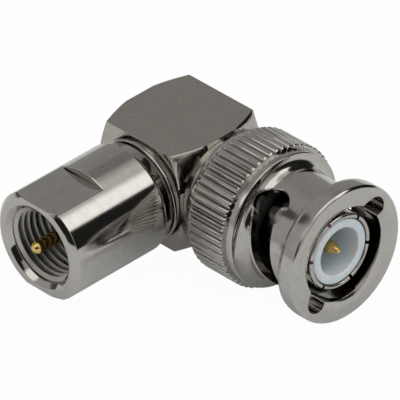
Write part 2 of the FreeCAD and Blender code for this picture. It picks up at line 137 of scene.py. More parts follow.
class NutSizes(bpy.types.PropertyGroup):
    rear: length("Rear", "Place of the nut's rear face", 7.4)
    front: length("Front", "Place of the nut's front face", 22.55)
    knurl: length("Knurl", "Diameter over the knurl's ridges", 15.152)
    knurl_rear: length("Knurl rear", "Place where the knurl has its full height", 8.68)
    knurl_front: length("Knurl front", "Place where the knurl ends at the collar", 13.1)
    knurl_depth: length("Knurl depth", "Depth of a knurl groove", 0.34)
    teeth: bpy.props.IntProperty(name="Ridges", description="Ridges round the knurl", default=56)
    collar: length("Collar", "Diameter of the smooth collar in front of the knurl", 14.24)
    collar_front: length("Collar front", "Place of the collar's front face", 14.05)
    collar_round: length("Collar round", "Radius of the hollow between collar and barrel", 1.2)
    barrel: length("Barrel", "Diameter of the slotted barrel", 11.56)
    rim: length("Rim", "Diameter of the front rim", 14.5)
    bore: length("Bore", "Bore of the slotted barrel", 10.0)
    cavity: length("Cavity", "Diameter of the room for the flange and its washers", 12.36)
    slot: length("Slot", "Width of a cam slot", 2.65)
    lead: length("Lead", "Advance of a cam slot over a full turn", 6.73)
    slot_angle: turn("Slot angle", "Where the first cam slot starts", 131)
    slot_start: length("Slot start", "Place of the cam slot's closed end", 15.85)
    detent: length("Detent", "Diameter of the round hole that a cam slot ends in", 3.7)
    detent_angle: turn("Detent angle", "Where the first round hole is", 128.4)
    detent_place: length("Detent place", "Place of the round holes", 16.15)
    entry: length("Entry", "Diameter of the channel that leads into a cam slot", 2.7)
    entry_reach: length("Entry reach", "Distance of a channel from the nut's axis", 5.15)


class ContactSizes(bpy.types.PropertyGroup):
    front: length("Front", "Place of the sprung fingers' ends", 21.85)
    across: length("Diameter", "Outside of the sprung fingers", 8.1)
    bore: length("Bore", "Inside of the sprung fingers", 7.1)
    bore_depth: length("Bore depth", "Depth of the bore behind the fingers' ends", 7.9)
    slot: length("Slot", "Width of the slot between two fingers", 0.35)
    slot_depth: length("Slot length", "Length of the slot between two fingers", 5.8)
    slot_angle: turn("Slot angle", "Where the first slot is", -10.5)
    recess: length("Recess", "Diameter of the white insulator's recess", 5.08)
    recess_depth: length("Recess depth", "Depth of the white insulator's recess", 5.2)
    pin: length("Pin", "Diameter of the bayonet plug's pin", 1.35)
    threaded_pin: length("Threaded plug's pin", "Diameter of the threaded plug's pin", 1.3)


class Finishes(bpy.types.PropertyGroup):
    nickel: colour("Nickel", "Bright nickel plate", 0.47, 0.455, 0.43)
    satin_nickel: colour("Satin nickel", "Nickel plate on the milled block", 0.42, 0.395, 0.365)
    steel: colour("Spring steel", "Washers and ring", 0.45, 0.45, 0.46)
    insulator: colour("Insulator", "White fluoropolymer", 0.60, 0.655, 0.69)
    gold: colour("Gold", "Gold plate of the pins", 0.72, 0.50, 0.17)
    rubber: colour("Rubber", "Silicone gasket", 0.02, 0.02, 0.021)
    floor: colour("Floor", "Pale studio floor", 0.80, 0.80, 0.79)


GROUPS = {"adapter_block": BlockSizes, "adapter_barrel": BarrelSizes, "adapter_nut": NutSizes,
          "adapter_contact": ContactSizes, "adapter_finishes": Finishes}


# Modelling

def drop_all():
    """Select nothing, in object mode."""
    if bpy.context.object and bpy.context.object.mode != "OBJECT":
        bpy.ops.object.mode_set(mode="OBJECT")
    bpy.ops.object.select_all(action="DESELECT")


def take(piece):
    drop_all()
    piece.select_set(True)
    bpy.context.view_layer.objects.active = piece


def place_in_mesh(name):
    """Name the new primitive and move its place into its mesh."""
    piece = bpy.context.object
    piece.name = name
    piece.data.name = name
    bpy.ops.object.transform_apply(location=True, rotation=True, scale=True)
    return piece


def facing(way):
    """Rotation that lays a primitive's own axis along the way."""
    return Vector((0, 0, 1)).rotation_difference(way).to_euler()


def radius_about(point, way):
    return (point - way * point.dot(way)).length


def angle_about(point):
    """Angle about the bayonet plug's axis."""
    return atan2(point.z, point.y)


def outward(angle):
    """Direction away from the bayonet plug's axis at an angle about it."""
    return Vector((0, cos(angle), sin(angle)))


def select_in_mesh(piece, kind, wanted):
    """In edit mode, select only the vertices, edges or faces that are wanted."""
    bpy.ops.mesh.select_mode(type=kind)
    bpy.ops.mesh.select_all(action="DESELECT")
    shape = bmesh.from_edit_mesh(piece.data)
    for item in {"VERT": shape.verts, "EDGE": shape.edges, "FACE": shape.faces}[kind]:
        if wanted(item):
            item.select_set(True)
    shape.select_flush_mode()
    bmesh.update_edit_mesh(piece.data)


def scale_across(way, factor, place=0.0):
    across = tuple(1.0 if abs(part) > 0.5 else factor for part in way)
    bpy.ops.transform.resize(value=across, center_override=way * place)


def turned(name, way, stations, steps=192):
    """Draw out a ring station by station, like a profile on a lathe.

    A station is (place, radius) or (place, radius, width of its rounded corner). A radius of 0 closes
    the end to a point on the axis, and a profile that never reaches the axis is closed on itself.
    """
    drop_all()
    place, radius = stations[0][:2]
    solid_end = stations[-1][1] == 0
    bpy.ops.mesh.primitive_circle_add(vertices=steps, radius=radius, location=way * place,
                                      rotation=facing(way), fill_type="NGON" if solid_end else "NOTHING")
    piece = place_in_mesh(name)
    bpy.ops.object.mode_set(mode="EDIT")
    bpy.ops.mesh.select_mode(type="VERT")
    bpy.ops.mesh.select_all(action="SELECT")
    rings = stations[1:] if solid_end else stations[1:] + stations[:1]
    for station in rings:
        bpy.ops.mesh.extrude_region_move(TRANSFORM_OT_translate={"value": way * (station[0] - place)})
        place = station[0]
        if station[1] == 0:
            bpy.ops.mesh.merge(type="CENTER")
        elif station[1] != radius:
            scale_across(way, station[1] / radius, place)
            radius = station[1]
    bpy.ops.mesh.select_all(action="SELECT")
    bpy.ops.mesh.remove_doubles(threshold=1e-7)
    bpy.ops.mesh.normals_make_consistent(inside=False)
    for station in stations:
        if len(station) > 2:
            round_corner(piece, way, *station)
    bpy.ops.object.mode_set(mode="OBJECT")
    return piece


def round_corner(piece, way, place, radius, width):
    """Bevel the ring of edges at a place and radius, in more steps where it is wide."""
    def on_ring(point):
        return abs(point.dot(way) - place) < MICRON and abs(radius_about(point, way) - radius) < MICRON

    select_in_mesh(piece, "EDGE", lambda edge: all(on_ring(vertex.co) for vertex in edge.verts))
    bpy.ops.mesh.bevel(offset=width, segments=10 if width > 0.5 * MM else 3, affect="EDGES",
                       clamp_overlap=False)


def break_edges(piece, width, wanted):
    """Bevel the wanted edges of a piece."""
    take(piece)
    bpy.ops.object.mode_set(mode="EDIT")
    select_in_mesh(piece, "EDGE", wanted)
    bpy.ops.mesh.bevel(offset=width, segments=2, affect="EDGES", clamp_overlap=False)
    bpy.ops.object.mode_set(mode="OBJECT")


def cut(piece, tool, operation="DIFFERENCE"):
    """Cut the tool out of the piece, and throw the tool away."""
    take(piece)
    modifier = piece.modifiers.new("cut", "BOOLEAN")
    modifier.object = tool
    modifier.operation = operation
    modifier.solver = "EXACT"
    bpy.ops.object.modifier_apply(modifier=modifier.name)
    bpy.data.objects.remove(tool)


def rod(way, start, end, radius, steps=64, aside=Vector()):
    """Round cutter between two places along the way, on a line through the origin or aside from it."""
    drop_all()
    bpy.ops.mesh.primitive_cylinder_add(vertices=steps, radius=radius, depth=abs(end - start),
                                        location=aside + way * (start + end) / 2, rotation=facing(way))
    return place_in_mesh("cutter")


def slab(low, high, spin=0.0):
    """Square cutter between two corners, spun about the bayonet plug's axis."""
    drop_all()
    low, high = Vector(low), Vector(high)
    bpy.ops.mesh.primitive_cube_add(size=1, location=(low + high) / 2)
    tool = bpy.context.object
    tool.scale = high - low
    place_in_mesh("cutter")
    tool.rotation_euler = (spin, 0, 0)
    bpy.ops.object.transform_apply(location=True, rotation=True, scale=True)
    return tool


def outline(name, corners):
    """A flat face through the corners, in the order in which they stand."""
    drop_all()
    bpy.ops.mesh.primitive_circle_add(vertices=len(corners), radius=MM, fill_type="NOTHING")
    piece = place_in_mesh(name)
    for vertex, corner in zip(piece.data.vertices, corners):
        vertex.co = corner
    return piece


def lofted(name, points, steps):
    """A closed shape through rings of points, so many points to a ring."""
    drop_all()
    bpy.ops.mesh.primitive_cylinder_add(vertices=steps, radius=MM, depth=MM)
    piece = place_in_mesh(name)
    bpy.ops.object.mode_set(mode="EDIT")
    select_in_mesh(piece, "FACE", lambda face: face.normal.z > 0.5)
    for _ in range(len(points) // steps - 2):
        bpy.ops.mesh.extrude_region_move(TRANSFORM_OT_translate={"value": (0, 0, MM)})
    bpy.ops.object.mode_set(mode="OBJECT")

    def ring_by_ring(vertex):
        """Order of the rings, and of the points round a ring."""
        return round(vertex.co.z / MM * 2), atan2(vertex.co.y, vertex.co.x) % (2 * pi - 1e-4)

    for vertex, point in zip(sorted(piece.data.vertices, key=ring_by_ring), points):
        vertex.co = point
    bpy.ops.object.mode_set(mode="EDIT")
    bpy.ops.mesh.select_all(action="SELECT")
    bpy.ops.mesh.normals_make_consistent(inside=False)
    bpy.ops.object.mode_set(mode="OBJECT")
    return piece


def wound(piece, axis, angle, advance, steps):
    """Sweep an outline round an axis while it advances, and close both ends."""
    take(piece)
    modifier = piece.modifiers.new("wind", "SCREW")
    modifier.axis = axis
    modifier.angle = angle
    modifier.screw_offset = advance
    modifier.steps = modifier.render_steps = steps
    modifier.use_merge_vertices = False
    bpy.ops.object.modifier_apply(modifier=modifier.name)
    bpy.ops.object.mode_set(mode="EDIT")
    bpy.ops.mesh.select_all(action="SELECT")
    bpy.ops.mesh.fill_holes(sides=len(piece.data.vertices))
    bpy.ops.mesh.normals_make_consistent(inside=False)
    bpy.ops.object.mode_set(mode="OBJECT")
    return piece


def finished(piece, body, slot, material, *nodes):
    """Smooth the piece, give it its finish and let it ride."""
    take(piece)
    bpy.ops.object.mode_set(mode="EDIT")
    bpy.ops.mesh.select_all(action="SELECT")
    bpy.ops.mesh.remove_doubles(threshold=2e-7)
    bpy.ops.object.mode_set(mode="OBJECT")
    bpy.ops.object.shade_smooth_by_angle(angle=radians(32))
    modifier = piece.modifiers.new("even light", "WEIGHTED_NORMAL")
    modifier.keep_sharp = True
    modifier.weight = 60
    bpy.ops.object.modifier_apply(modifier=modifier.name)
    piece.data.materials.clear()
    piece.data.materials.append(material)
    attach(piece, body)
    if nodes:
        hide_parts(*nodes)
    return piece


# Materials

# Sockets of a Mix node, whose kinds share their names: those for colours, and those for numbers
COLOUR_A, COLOUR_B, MIXED_COLOUR = 6, 7, 2
NUMBER_A, NUMBER_B = 2, 3


class Nodes:
    """A node tree, and the few steps that the materials and the world share."""

    def __init__(self, tree):
        self.tree = tree

    def add(self, kind, **values):
        return self.give(self.tree.nodes.new("ShaderNode" + kind), **values)

    def give(self, node, **values):
        """Each value goes to the node's input of that name, or else to its setting."""
        for key, number in values.items():
            socket = key.replace("_", " ")
            if socket in node.inputs:
                node.inputs[socket].default_value = number
            else:
                setattr(node, key, number)
        return node

    def link(self, output, target):
        self.tree.links.new(output, target)

    def maths(self, operation, *parts):
        """Sum, product or test of numbers and other nodes' results."""
        node = self.add("Math", operation=operation)
        for socket, part in zip(node.inputs, parts):
            if isinstance(part, bpy.types.NodeSocket):
                self.link(part, socket)
            else:
                socket.default_value = part
        return node.outputs[0]


class Finish(Nodes):
    """A node material with the few steps that the adapter's finishes share."""

    def __init__(self, name, base, roughness, **values):
        self.material = bpy.data.materials.new(name)
        self.material.use_nodes = True
        super().__init__(self.material.node_tree)
        self.shader = self.tree.nodes["Principled BSDF"]
        self.base = tuple(base)
        self.give(self.shader, Base_Color=(*base, 1), Roughness=roughness, **values)
        self.place = self.add("TexCoord").outputs["Object"]

    def surface(self, output):
        """Let this be the material's surface."""
        self.link(output, self.tree.nodes["Material Output"].inputs["Surface"])

    def noise(self, grain, stretch=(1, 1, 1), detail=3.0):
        """Noise whose grain is a size in metres, drawn out along an axis by a stretch below 1."""
        mapping = self.add("Mapping", Scale=stretch)
        self.link(self.place, mapping.inputs["Vector"])
        noise = self.add("TexNoise", Scale=1 / grain, Detail=detail, Roughness=0.6)
        self.link(mapping.outputs[0], noise.inputs["Vector"])
        return noise.outputs["Fac"]

    def spread(self, source, low, high):
        """Map the middle of a noise to the span from low to high."""
        span = self.add("MapRange", From_Min=0.3, From_Max=0.7, To_Min=low, To_Max=high)
        self.link(source, span.inputs["Value"])
        return span.outputs["Result"]

    def roughen(self, source, low, high):
        self.link(self.spread(source, low, high), self.shader.inputs["Roughness"])

    def tint(self, source, low, high):
        """Vary the base colour's brightness."""
        mix = self.add("Mix", data_type="RGBA", blend_type="MIX")
        mix.inputs[COLOUR_A].default_value = (*(part * low for part in self.base), 1)
        mix.inputs[COLOUR_B].default_value = (*(min(1.0, part * high) for part in self.base), 1)
        self.link(self.spread(source, 0, 1), mix.inputs[0])
        self.link(mix.outputs[MIXED_COLOUR], self.shader.inputs["Base Color"])

    def bump(self, *layers):
        """Stack bumps, each a (source, height in metres) pair."""
        normal = None
        for source, height in layers:
            bump = self.add("Bump", Strength=1.0, Distance=height)
            self.link(source, bump.inputs["Height"])
            if normal:
                self.link(normal, bump.inputs["Normal"])
            normal = bump.outputs["Normal"]
        self.link(normal, self.shader.inputs["Normal"])


def plated_finish(name, base, roughness, way):
    """Nickel plate over fine lathe lines that run round the way."""
    finish = Finish(name, base, roughness, Metallic=1.0)
    along = tuple(1.0 if abs(part) > 0.5 else 0.03 for part in way)
    finish.roughen(finish.noise(2.2 * MM, detail=4), roughness * 0.75, roughness * 1.35)
    finish.tint(finish.noise(0.9 * MM, detail=5), 0.93, 1.06)
    finish.bump((finish.noise(0.09 * MM, stretch=along), 0.5 * MICRON),
                (finish.noise(0.04 * MM), 0.6 * MICRON))
    return finish


def plated(name, base, roughness, way):
    return plated_finish(name, base, roughness, way).material


def milled(name, base, roughness, way):
    """Satin nickel plate over a milled, slightly grainy face."""
    finish = Finish(name, base, roughness, Metallic=1.0)
    along = tuple(0.06 if abs(part) > 0.5 else 1.0 for part in way)
    finish.roughen(finish.noise(1.6 * MM, detail=5), roughness * 0.85, roughness * 1.2)
    finish.tint(finish.noise(0.25 * MM, detail=4), 0.9, 1.1)
    finish.bump((finish.noise(0.16 * MM, stretch=along), 1.6 * MICRON),
                (finish.noise(0.07 * MM), 2.2 * MICRON))
    return finish.material


def moulded_white(name, base):
    """Waxy white fluoropolymer."""
    finish = Finish(name, base, 0.42, Subsurface_Weight=0.6, Subsurface_Scale=2 * MM)
    finish.roughen(finish.noise(0.7 * MM), 0.34, 0.5)
    finish.tint(finish.noise(1.5 * MM, detail=4), 0.96, 1.04)
    finish.bump((finish.noise(0.08 * MM), 1.2 * MICRON))
    return finish.material


def gilt(name, base, way):
    """Gold plate over fine lathe lines."""
    finish = Finish(name, base, 0.1, Metallic=1.0)
    along = tuple(1.0 if abs(part) > 0.5 else 0.05 for part in way)
    finish.roughen(finish.noise(0.4 * MM), 0.06, 0.14)
    finish.tint(finish.noise(0.5 * MM), 0.88, 1.1)
    finish.bump((finish.noise(0.06 * MM, stretch=along), 0.8 * MICRON))
    return finish.material


def rubber(name, base):
    """Dull silicone rubber with a fine bloom."""
    finish = Finish(name, base, 0.8, Specular_IOR_Level=0.1)
    finish.roughen(finish.noise(0.6 * MM), 0.7, 0.9)
    finish.tint(finish.noise(0.8 * MM, detail=5), 0.85, 1.15)
    finish.bump((finish.noise(0.1 * MM), 4 * MICRON))
    return finish.material


def material_of(name, make, *values, **named_values):
    """The finish of this name, made once."""
    return bpy.data.materials.get(name) or make(name, *values, **named_values)


def satin_nickel(finishes):
    """Finish of the block and of its cap."""
    return material_of("satin nickel", milled, finishes.satin_nickel, roughness=0.09, way=BAYONET)


def white_insulator(finishes):
    return material_of("white insulator", moulded_white, finishes.insulator)


# Pieces

class ADAPTER_OT_block(bpy.types.Operator):
    """Mill the square block and chamfer both its ends like a nut"""
    bl_idname = "adapter.block"
    bl_label = "Block"

    def execute(self, context):
        size = context.scene.adapter_block
        finishes = context.scene.adapter_finishes
        drop_all()
        bpy.ops.mesh.primitive_cube_add(size=size.across, location=((size.front - size.rear) / 2, 0, 0))
        block = bpy.context.object
        block.scale.x = (size.front + size.rear) / size.across
        place_in_mesh("block")
        face, past_corners = size.face / 2, size.across * 0.8
        fall = (past_corners - face) * tan(size.chamfer)
        chamfers = turned("cutter", BAYONET, [
            (-size.rear, face), (-size.rear + fall, past_corners), (size.front - fall, past_corners),
            (size.front, face), (size.front, 0)], steps=256)
        cut(block, chamfers, "INTERSECT")
        cut(block, rod(BAYONET, -size.rear - MM, -size.rear + size.cap_depth, size.cap_seat / 2, steps=96))
        self.break_sharp_edges(block, size)
        finished(block, "adapter", "block_nickel", satin_nickel(finishes), "elbow_body")
        return {"FINISHED"}

    def break_sharp_edges(self, block, size):
        """Break the cap's hole and the square's edges, but not the arcs' thin middles or their rear ends."""
        near_cap, thin_middle, rear_end = size.cap_seat / 2 + 0.4 * MM, 2.3 * MM, -size.rear + 1.4 * MM

        def is_broken(edge):
            middle = (edge.verts[0].co + edge.verts[1].co) / 2
            at_cap = radius_about(middle, BAYONET) < near_cap
            off_arc = min(abs(middle.y), abs(middle.z)) > thin_middle and middle.x > rear_end
            return edge.calc_face_angle(0) > radians(40) and (at_cap or off_arc)

        break_edges(block, size.edge, is_broken)


class ADAPTER_OT_barrel(bpy.types.Operator):
    """Turn the threaded plug's barrel, mill its wrench flats and cut the inside thread"""
    bl_idname = "adapter.barrel"
    bl_label = "Threaded barrel"

    def execute(self, context):
        size = context.scene.adapter_barrel
        finishes = context.scene.adapter_finishes
        outside, neck, groove = size.across / 2, size.neck / 2, size.groove / 2
        front, bore, mouth = size.front, size.thread / 2, size.mouth / 2
        floor = front - size.thread_depth
        line_bore, foot, ring = 3.2 * MM, 5.1 * MM, 5.42 * MM
        spigot_end, foot_rear, ring_rear, ring_front = 4.2 * MM, 5.6 * MM, 5.95 * MM, 6.3 * MM
        neck_rear, neck_front, cone_front = 6.55 * MM, 7.4 * MM, 7.8 * MM
        chamfer_length, chamfer_height = 0.42 * MM, 0.5 * MM
        barrel = turned("barrel", THREADED, [
            (spigot_end, line_bore), (spigot_end, SPIGOT), (foot_rear, SPIGOT), (foot_rear, foot),
            (ring_rear, foot), (ring_rear, ring, 0.08 * MM), (ring_front, ring, 0.08 * MM),
            (ring_front, groove), (neck_rear, groove), (neck_rear, neck, 0.06 * MM),
            (neck_front, neck, 0.1 * MM), (cone_front, outside, 0.15 * MM),
            (size.flats_end - 0.14 * MM, outside), (front - chamfer_length, outside, 0.04 * MM),
            (front, outside - chamfer_height, 0.04 * MM), (front, mouth, 0.05 * MM),
            (front - (mouth - bore), bore, 0.04 * MM), (floor, bore), (floor, line_bore)],
            steps=BARREL_STEPS)
        self.mill_flats(barrel, size)
        material = material_of("bright nickel, threaded plug", plated, finishes.nickel, roughness=0.075,
                               way=THREADED)
        finished(barrel, "adapter", "barrel_nickel", material, "fme_shell")

        thread = self.wind_thread(size, floor)
        material = material_of("nickel, inside thread", plated, finishes.nickel, roughness=0.32,
                               way=THREADED)
        finished(thread, "adapter", "barrel_nickel", material)
        return {"FINISHED"}

    def mill_flats(self, barrel, size):
        """Mill two flats whose sides fall on corners of the barrel, and break the arcs at their ends."""
        outside = size.across / 2
        reach = outside * 1.2
        column = round(asin(size.flats / 2 / outside) / (2 * pi / BARREL_STEPS))
        flat = outside * sin(column * 2 * pi / BARREL_STEPS)
        for low, high in ((flat, reach), (-reach, -flat)):
            cut(barrel, slab((-reach, -size.front * 1.1, low), (reach, -size.flats_end, high)))
        break_edges(barrel, 0.13 * MM, lambda edge: all(
            abs(vertex.co.y + size.flats_end) < MICRON
            and radius_about(vertex.co, THREADED) > outside - 10 * MICRON for vertex in edge.verts))

    def wind_thread(self, size, floor):
        """Wind the inside thread's ridge, its foot sunk a little into the bore's wall."""
        foot, crest = size.thread / 2 + 0.05 * MM, size.thread_core / 2
        half_foot, half_crest = size.pitch * 0.46, size.pitch * 0.09
        start, end = floor + size.pitch, size.front - 0.75 * MM
        turns = (end - start) / size.pitch
        thread = outline("inside_thread", [
            (foot, -start + half_foot, 0), (crest, -start + half_crest, 0),
            (crest, -start - half_crest, 0), (foot, -start - half_foot, 0)])
        return wound(thread, "Y", 2 * pi * turns, -size.pitch * turns, int(SCREW_STEPS * turns))


class ADAPTER_OT_nut(bpy.types.Operator):
    """Turn and knurl the bayonet nut, and cut its cam slots, round holes and entries"""
    bl_idname = "adapter.nut"
    bl_label = "Coupling nut"

    def execute(self, context):
        size = context.scene.adapter_nut
        finishes = context.scene.adapter_finishes
        knurl, collar, barrel, rim = size.knurl / 2, size.collar / 2, size.barrel / 2, size.rim / 2
        bore, cavity, front = size.bore / 2, size.cavity / 2, size.front
        rear_face, rim_foot, mouth = 6.85 * MM, 7.15 * MM, 5.8 * MM
        rim_rear, rim_full, rim_edge, mouth_depth = 20.5 * MM, 21.0 * MM, 0.22 * MM, 0.27 * MM
        ring_rear, ring_front, ring_depth = 8.84 * MM, 9.44 * MM, 0.4 * MM
        knurl_bottom = knurl - size.knurl_depth
        slope = (size.knurl_rear - size.rear) / (knurl - rear_face)
        nut = turned("nut", BAYONET, [
            (size.rear, cavity), (size.rear, rear_face, 0.08 * MM),
            (size.rear + (knurl_bottom - rear_face) * slope, knurl_bottom), (size.knurl_rear, knurl),
            (size.knurl_front - 0.12 * MM, knurl), (size.knurl_front, knurl - 0.1 * MM),
            (size.knurl_front, collar), (size.collar_front, collar, 0.12 * MM),
            (size.collar_front, barrel, size.collar_round), (rim_rear, barrel, 0.12 * MM),
            (rim_rear, rim_foot, 0.08 * MM), (rim_full, rim, 0.1 * MM), (front - rim_edge, rim, 0.05 * MM),
            (front, rim - rim_edge, 0.05 * MM), (front, mouth, 0.05 * MM),
            (front - mouth_depth, bore, 0.04 * MM), (FLANGE_FRONT, bore), (FLANGE_FRONT, cavity),
            (ring_front, cavity), (ring_front, cavity + ring_depth), (ring_rear, cavity + ring_depth),
            (ring_rear, cavity)], steps=size.teeth * KNURL_STEPS)
        self.knurl(nut, size)
        for spin in (0, pi):
            self.cut_entry(nut, size, spin)
            self.cut_cam(nut, size, spin)
            self.cut_detent(nut, size, spin)
        material = material_of("bright nickel, nut", self.plate, finishes.nickel, size)
        finished(nut, "nut", "nut_nickel", material, "coupling_nut")
        return {"FINISHED"}

    def plate(self, name, base, size):
        """Bright plate outside, and painted shade that darkens the sides in the cam slots."""
        finish = plated_finish(name, base, roughness=0.10, way=BAYONET)
        place = finish.add("SeparateXYZ")
        finish.link(finish.place, place.inputs[0])
        hollow_front = size.collar_front + size.collar_round
        fall = finish.maths("MAXIMUM", finish.maths("SUBTRACT", hollow_front, place.outputs["X"]), 0)
        squares = finish.maths("SUBTRACT", size.collar_round ** 2, finish.maths("MULTIPLY", fall, fall))
        skin = finish.maths("SUBTRACT", size.barrel / 2 + size.collar_round - SLOT_EDGE * 1.2,
                            finish.maths("SQRT", squares))
        across = finish.add("CombineXYZ")
        for axis in "YZ":
            finish.link(place.outputs[axis], across.inputs[axis])
        radius = finish.add("VectorMath", operation="LENGTH")
        finish.link(across.outputs[0], radius.inputs[0])
        slots_rear, slots_front = 14.1 * MM, 20.4 * MM
        below = finish.maths("LESS_THAN", radius.outputs["Value"], skin)
        along = finish.maths("MULTIPLY", finish.maths("LESS_THAN", place.outputs["X"], slots_front),
                             finish.maths("GREATER_THAN", place.outputs["X"], slots_rear))
        # Painted shade: darken the base colour on the slots' sides, below the skin
        painted_shade = finish.add("Mix", data_type="RGBA", blend_type="MULTIPLY")
        painted_shade.inputs[COLOUR_B].default_value = (*SLOT_PAINTED_SHADE, 1)
        finish.link(finish.maths("MULTIPLY", below, along), painted_shade.inputs[0])
        base_colour = finish.shader.inputs["Base Color"]
        finish.link(base_colour.links[0].from_socket, painted_shade.inputs[COLOUR_A])
        finish.link(painted_shade.outputs[MIXED_COLOUR], base_colour)
        return finish.material

    def skin(self, size, place):
        """Radius of the nut's outside at a place of its barrel or of the hollow behind it."""
        fall = max(0.0, size.collar_front + size.collar_round - place)
        return size.barrel / 2 + size.collar_round - sqrt(max(0.0, size.collar_round ** 2 - fall ** 2))

    def knurl(self, nut, size):
        """Press the grooves in, each row of points to its share of the depth."""
        knurl = size.knurl / 2
        step = 2 * pi / (size.teeth * KNURL_STEPS)
        bpy.ops.object.mode_set(mode="EDIT")
        for row, share in enumerate((1.0, 0.34, 0.06)):
            def in_row(vertex):
                place = vertex.co
                if not size.knurl_rear - MICRON < place.x < size.knurl_front + MICRON:
                    return False
                column = round(angle_about(place) / step) % KNURL_STEPS
                at_top = radius_about(place, BAYONET) >= knurl - 0.11 * MM
                return at_top and min(column, KNURL_STEPS - column) == row

            select_in_mesh(nut, "VERT", in_row)
            scale_across(BAYONET, 1 - size.knurl_depth * share / knurl)
        bpy.ops.object.mode_set(mode="OBJECT")

    def cut_entry(self, nut, size, spin):
        """Cut the channel that leads from the nut's front to the cam slot's open end."""
        side = outward(size.slot_angle + spin + pi / 2) * size.entry_reach
        low = size.slot_start + size.lead / 4 - size.slot / 2 + 0.1 * MM
        cut(nut, rod(BAYONET, low, size.front + MM, size.entry / 2, aside=side))

    def cut_cam(self, nut, size, spin):
        """Cut the cam slot, its flare laid along the nut's skin."""
        way = outward(size.slot_angle + spin)
        half, barrel = size.slot / 2, size.barrel / 2
        section = [(-half - wider, barrel + height) for height, wider in FLARE]
        section += [(half + wider, barrel + height) for height, wider in reversed(FLARE)]
        corners = [BAYONET * (size.slot_start + across) + way * height for across, height in section]
        band = wound(outline("cutter", corners), "X", pi / 2, size.lead / 4, SCREW_STEPS)
        for vertex in band.data.vertices:
            lift = self.skin(size, vertex.co.x) - barrel
            around = Vector((0, vertex.co.y, vertex.co.z))
            if around.length > barrel - 2 * SLOT_EDGE:
                vertex.co += around.normalized() * lift
        cut(nut, band)

    def cut_detent(self, nut, size, spin):
        """Cut the round hole at the cam slot's closed end."""
        way = outward(size.detent_angle + spin)
        side = way.cross(BAYONET)
        points = []
        for height, wider in FLARE:
            radius = size.detent / 2 + wider
            for number in range(DETENT_STEPS):
                angle = 2 * pi * number / DETENT_STEPS
                place = size.detent_place + radius * sin(angle)
                across = radius * cos(angle)
                rise = sqrt((self.skin(size, place) + height) ** 2 - across ** 2)
                points.append(BAYONET * place + side * across + way * rise)
        cut(nut, lofted("cutter", points, DETENT_STEPS))


class ADAPTER_OT_contact(bpy.types.Operator):
    """Turn the bayonet plug's shell, slot its fingers and set the white insulator and gasket into it"""
    bl_idname = "adapter.contact"
    bl_label = "Fingers and insulator"

    def execute(self, context):
        size = context.scene.adapter_contact
        finishes = context.scene.adapter_finishes
        shoulder = size.front - size.bore_depth
        self.turn_shell(size, finishes, shoulder)
        self.turn_insulator(size, finishes, shoulder)
        self.mould_gasket(size, finishes)
        return {"FINISHED"}

    def turn_shell(self, size, finishes, shoulder):
        """Turn the shell, and slot its front into six fingers."""
        outside, bore, front = size.across / 2, size.bore / 2, size.front
        line_bore, neck, flange, seat = 2.9 * MM, 5.2 * MM, 6.1 * MM, outside + 0.2 * MM
        spigot_end, neck_rear, flange_rear, seat_front = 3.9 * MM, 5.4 * MM, 12.4 * MM, 14.3 * MM
        edge, bore_edge = 0.2 * MM, 0.1 * MM
        shell = turned("fingers", BAYONET, [
            (spigot_end, line_bore), (spigot_end, SPIGOT), (neck_rear, SPIGOT), (neck_rear, neck, 0.06 * MM),
            (flange_rear, neck), (flange_rear, flange, 0.05 * MM), (FLANGE_FRONT, flange, 0.05 * MM),
            (FLANGE_FRONT, seat), (seat_front, seat), (seat_front, outside),
            (front - edge, outside, 0.12 * MM), (front, outside - edge, 0.08 * MM),
            (front, bore + bore_edge, 0.04 * MM), (front - bore_edge, bore, 0.04 * MM), (shoulder, bore),
            (shoulder, line_bore)])
        reach = 6 * MM
        for number in range(3):
            cut(shell, slab((front - size.slot_depth, -reach, -size.slot / 2),
                            (front + MM, reach, size.slot / 2), size.slot_angle + number * pi / 3))
        material = material_of("bright nickel, fingers", plated, finishes.nickel, roughness=0.13,
                               way=BAYONET)
        finished(shell, "adapter", "shell_nickel", material, "plug_shell")

    def turn_insulator(self, size, finishes, shoulder):
        """Turn the white insulator with its recess."""
        rear, face = 3.1 * MM, size.front - 0.12 * MM
        tail, outside, recess = 2.89 * MM, 3.45 * MM, size.recess / 2
        floor = face - size.recess_depth
        insulator = turned("insulator", BAYONET, [
            (rear, LINE_HOLE), (rear, tail), (shoulder, tail), (shoulder, outside),
            (face, outside, 0.12 * MM), (face, recess, 0.12 * MM), (floor, recess, 0.1 * MM),
            (floor, LINE_HOLE)], steps=160)
        finished(insulator, "adapter", "white_insulator", white_insulator(finishes), "plug_insulator")

    def mould_gasket(self, size, finishes):
        """Mould the gasket, with a lip that covers the step of its seat."""
        gap = 0.02 * MM
        contact, seat, lip, outside = size.across / 2 + gap, size.across / 2 + 0.22 * MM, 4.4 * MM, 4.79 * MM
        rear, front, lip_rear, lip_front = FLANGE_FRONT + gap, 14.12 * MM, 14.32 * MM, 14.44 * MM
        gasket = turned("rubber_gasket", BAYONET, [
            (rear, seat), (rear, outside, 0.05 * MM), (front, outside, 0.1 * MM),
            (lip_front, lip, 0.08 * MM), (lip_front, contact), (lip_rear, contact), (lip_rear, seat)],
            steps=96)
        finished(gasket, "adapter", "gasket_rubber", material_of("gasket rubber", rubber, finishes.rubber),
                 "gasket")


